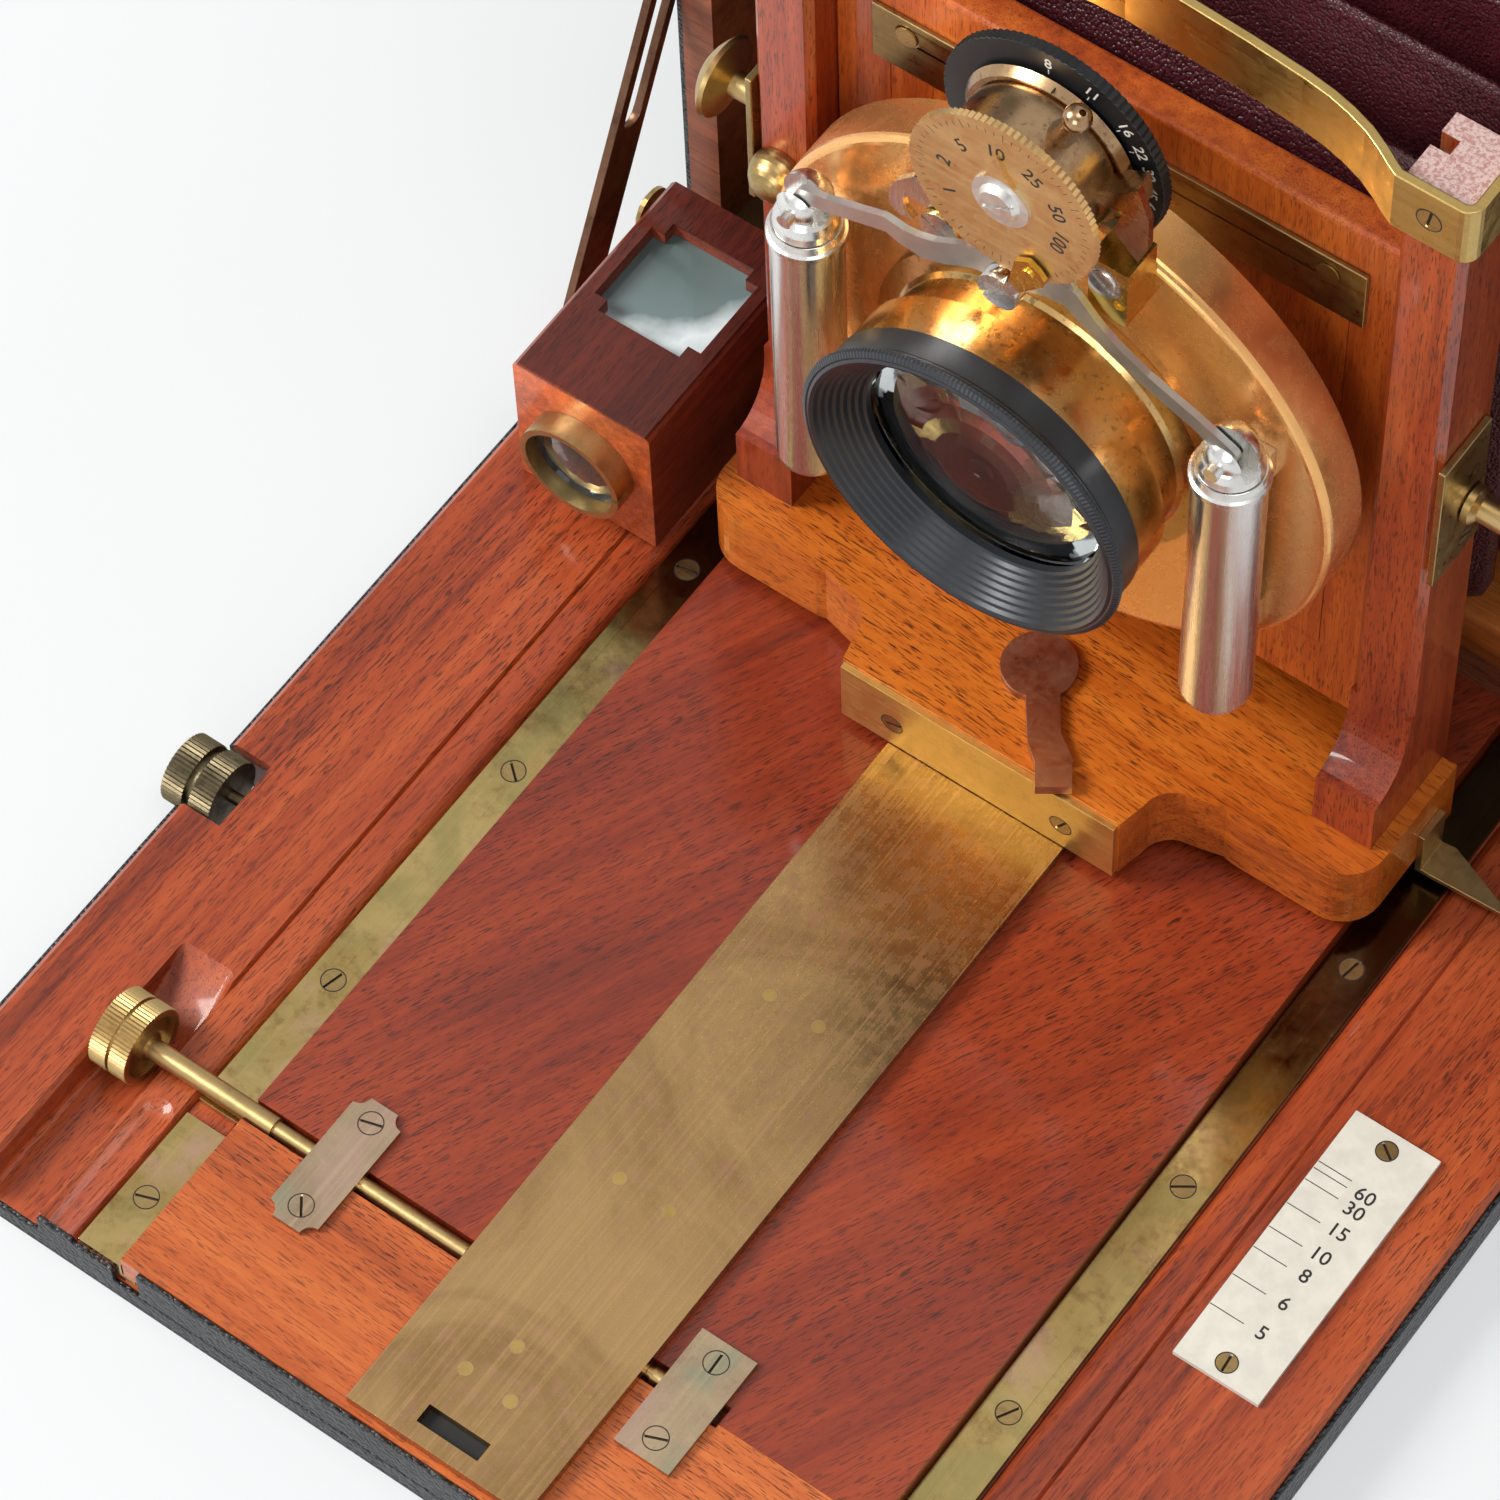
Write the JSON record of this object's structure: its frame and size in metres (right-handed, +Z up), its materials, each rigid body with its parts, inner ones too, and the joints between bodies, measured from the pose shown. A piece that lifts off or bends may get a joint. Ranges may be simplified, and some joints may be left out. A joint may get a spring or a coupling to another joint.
{
  "type": "folding plate camera",
  "caption": "Self-casing folding plate camera, opened on its drop bed, with bellows, a two-cylinder lens shutter, rack focusing, rising front and small finder.",
  "frame": {"origin": "centre of the bounding box in plan, on the surface that the camera stands on", "axes": "+Z up, +X to the right seen from behind the camera, and the lens looks along -Y"},
  "size_m": [0.2472, 0.3726, 0.2534],
  "materials": {
    "mahogany": "french-polished red mahogany",
    "inner_mahogany": "dark polished figured mahogany",
    "case_wood": "bare and stained inside walls",
    "leather": "black grained leather",
    "bellows_leather": "burgundy pleated leather",
    "brass": "lacquered brass",
    "track_brass": "brushed and worn brass",
    "nickel": "nickelled brass, worn",
    "dial_brass": "silvered brass with engraved numbers",
    "black_paint": "black lacquer",
    "glass": "clear polished glass",
    "ground_glass": "ground on one side",
    "ivory": "ivory-like plate, engraved"
  },
  "bodies": {
    "box": {"box_case": "case_wood", "box_leather": "leather", "box_floor": "mahogany", "case_fittings": "brass", "back_frame": "mahogany", "handle_strap": "leather", "bellows": "bellows_leather"},
    "latch": {"latch_button": "brass"},
    "focusing_back": {"glass_frame": "mahogany", "ground_glass": "ground_glass", "glass_springs": "brass"},
    "bed": {"bed_floor": "mahogany", "bed_side_left": "mahogany", "bed_side_right": "mahogany", "bed_leather": "leather", "bed_rails": "brass", "bed_fittings": "brass", "focus_scale": "ivory"},
    "finder": {"finder_box": "mahogany", "finder_lens_ring": "brass", "finder_glass": "glass"},
    "edge_wheel": {"edge_wheel": "brass"},
    "strut_left": {"strut_left": "brass"},
    "strut_right": {"strut_right": "brass"},
    "inner_bed": {"inner_board": "inner_mahogany", "front_cleat": "mahogany", "board_leather": "leather", "board_rack": "brass", "rod_plates": "brass"},
    "focus_pinion": {"pinion_rod": "brass", "focus_knob": "brass"},
    "track": {"track_plate": "track_brass"},
    "standard": {"standard_base": "mahogany", "base_strip": "brass", "post_left": "mahogany", "post_right": "mahogany", "post_yoke": "brass", "standard_screws": "brass", "scale_pointer": "brass", "lock_plates": "brass"},
    "clamp": {"clamp_lever": "brass"},
    "lock_left": {"lock_knob_left": "brass"},
    "lock_right": {"lock_knob_right": "brass"},
    "lens_panel": {"panel_frame": "mahogany", "lens_board": "inner_mahogany", "board_retainer": "brass", "shutter_drum": "brass", "lens_barrel": "brass", "lens_hood": "black_paint", "lens_glass": "glass", "aperture_scale": "black_paint", "dial_post": "brass", "air_cylinders": "nickel"},
    "iris": {"iris_ring": "brass"},
    "dial": {"speed_dial": "dial_brass"},
    "piston_left": {"piston_left": "nickel"},
    "piston_right": {"piston_right": "nickel"},
    "link_left": {"link_left": "nickel"},
    "link_right": {"link_right": "nickel"},
    "release": {"release_lever": "nickel"}
  },
  "joints": [
    {"name": "bed_fold", "type": "hinge", "parent": "box", "child": "bed", "pos_m": [0, 0.05125, 0.0123], "axis": [-1, 0, 0], "range_deg": [0, 12], "deforming": ["bellows"]},
    {"name": "strut_left_turn", "type": "hinge", "parent": "bed", "child": "strut_left", "pos_m": [-0.119, 0.01325, 0.008], "axis": [1, 0, 0], "range_deg": [-1, 11]},
    {"name": "strut_right_turn", "type": "hinge", "parent": "bed", "child": "strut_right", "pos_m": [0.119, 0.01325, 0.008], "axis": [1, 0, 0], "range_deg": [-1, 11]},
    {"name": "bed_extension", "type": "slide", "parent": "bed", "child": "inner_bed", "axis": [0, -1, 0], "range_m": [0, 0.08], "deforming": ["bellows"]},
    {"name": "edge_wheel_turn", "type": "hinge", "parent": "bed", "child": "edge_wheel", "pos_m": [-0.118, -0.09875, 0.009], "axis": [1, 0, 0], "range_deg": [-5, 1920]},
    {"name": "focus", "type": "slide", "parent": "inner_bed", "child": "track", "axis": [0, -1, 0], "range_m": [0, 0.06], "deforming": ["bellows"]},
    {"name": "focus_knob_turn", "type": "hinge", "parent": "inner_bed", "child": "focus_pinion", "pos_m": [-0.094, -0.14925, 0.0136], "axis": [1, 0, 0], "range_deg": [-5, 1730]},
    {"name": "standard_run", "type": "slide", "parent": "track", "child": "standard", "axis": [0, -1, 0], "range_m": [-0.085, 0.1], "deforming": ["bellows"]},
    {"name": "rising_front", "type": "slide", "parent": "standard", "child": "lens_panel", "axis": [0, 0, 1], "range_m": [-0.008, 0.013], "deforming": ["bellows"]},
    {"name": "clamp_turn", "type": "hinge", "parent": "standard", "child": "clamp", "pos_m": [0, -0.00525, 0.035], "axis": [0, 0, 1], "range_deg": [-60, 30]},
    {"name": "lock_left_turn", "type": "hinge", "parent": "standard", "child": "lock_left", "pos_m": [-0.075, 0.01575, 0.123], "axis": [-1, 0, 0], "continuous": true},
    {"name": "lock_right_turn", "type": "hinge", "parent": "standard", "child": "lock_right", "pos_m": [0.075, 0.01575, 0.123], "axis": [1, 0, 0], "continuous": true},
    {"name": "finder_swivel", "type": "hinge", "parent": "bed", "child": "finder", "pos_m": [-0.0957, 0.0115, 0.0126], "axis": [0, 0, 1], "range_deg": [-4, 4]},
    {"name": "iris_turn", "type": "hinge", "parent": "lens_panel", "child": "iris", "pos_m": [0, -0.00945, 0.191], "axis": [0, 1, 0], "range_deg": [-85, 0]},
    {"name": "dial_turn", "type": "hinge", "parent": "lens_panel", "child": "dial", "pos_m": [0, -0.01825, 0.191], "axis": [0, 1, 0], "range_deg": [0, 250]},
    {"name": "piston_left_slide", "type": "slide", "parent": "lens_panel", "child": "piston_left", "axis": [0, 0, 1], "range_m": [0, 0.012]},
    {"name": "piston_right_slide", "type": "slide", "parent": "lens_panel", "child": "piston_right", "axis": [0, 0, 1], "range_m": [0, 0.012]},
    {"name": "link_left_turn", "type": "hinge", "parent": "lens_panel", "child": "link_left", "pos_m": [0, -0.01655, 0.167], "axis": [0, 1, 0], "range_deg": [-1, 18]},
    {"name": "link_right_turn", "type": "hinge", "parent": "lens_panel", "child": "link_right", "pos_m": [0, -0.0151, 0.167], "axis": [0, 1, 0], "range_deg": [-18, 1]},
    {"name": "release_turn", "type": "hinge", "parent": "lens_panel", "child": "release", "pos_m": [-0.0171, -0.01015, 0.1611], "axis": [0, 1, 0], "range_deg": [0, 12], "stiffness_Nm_per_rad": 0.02, "springref_deg": -11.46},
    {"name": "latch_push", "type": "slide", "parent": "box", "child": "latch", "axis": [0, 0, -1], "range_m": [0, 0.0012], "stiffness_N_per_m": 400, "springref_m": -0.002},
    {"name": "focusing_back_pull", "type": "slide", "parent": "box", "child": "focusing_back", "axis": [0, 1, 0], "range_m": [0, 0.012], "stiffness_N_per_m": 900, "springref_m": -0.003}
  ],
  "couplings": [
    {"joint": "strut_left_turn", "follows": "bed_fold", "ratio": 0.855},
    {"joint": "strut_right_turn", "follows": "bed_fold", "ratio": 0.855},
    {"joint": "edge_wheel_turn", "follows": "bed_extension", "rad_per_m": 416.67},
    {"joint": "focus_knob_turn", "follows": "focus", "rad_per_m": 500},
    {"joint": "link_left_turn", "follows": "piston_left_slide", "rad_per_m": 23.81},
    {"joint": "link_right_turn", "follows": "piston_right_slide", "rad_per_m": -23.81}
  ]
}
